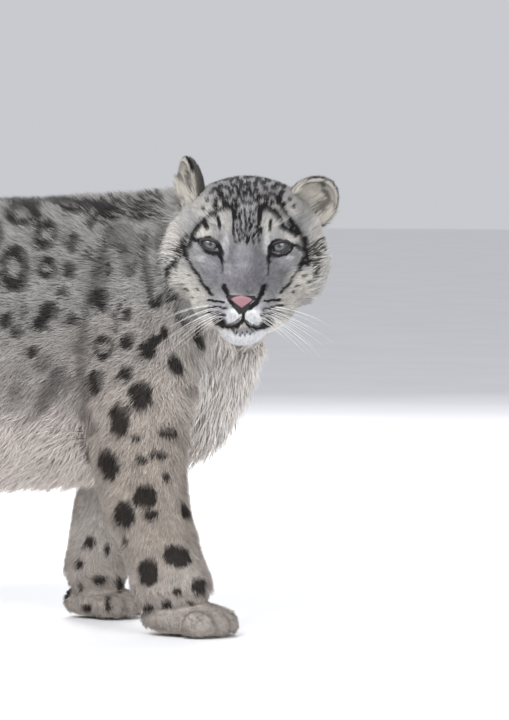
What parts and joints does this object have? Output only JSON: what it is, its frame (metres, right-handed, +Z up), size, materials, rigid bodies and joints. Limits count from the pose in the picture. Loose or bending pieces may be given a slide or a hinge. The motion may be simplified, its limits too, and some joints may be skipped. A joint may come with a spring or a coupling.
{
  "type": "snow leopard, adult, standing in a walking pose with its head turned",
  "caption": "Life-size snow leopard model, still, mid-stride on four feet, head turned to its right, long bushy tail curving up at the end.",
  "frame": {"origin": "on the floor, under the middle of the whole model's box", "axes": "+X forward along the body, +Y to the animal's left, +Z up"},
  "size_m": [1.533, 0.3404, 0.5971],
  "materials": {
    "coat": "deep grey-beige fur with near-black rosettes and spots, cream below",
    "ear_fur": "short pale fur with a dark rim",
    "eye": "wet, polished, grey-green"
  },
  "bodies": {
    "root": {"torso": "coat", "neck": "coat", "head": "coat", "ear_right": "ear_fur", "ear_left": "ear_fur", "eye_right": "eye", "eye_left": "eye", "foreleg_right": "coat", "foreleg_left": "coat", "hindleg_right": "coat", "hindleg_left": "coat", "forepaw_right": "coat", "forepaw_left": "coat", "hindpaw_right": "coat", "hindpaw_left": "coat", "tail_root": "coat", "tail_middle": "coat", "tail_end": "coat"}
  },
  "joints": []
}
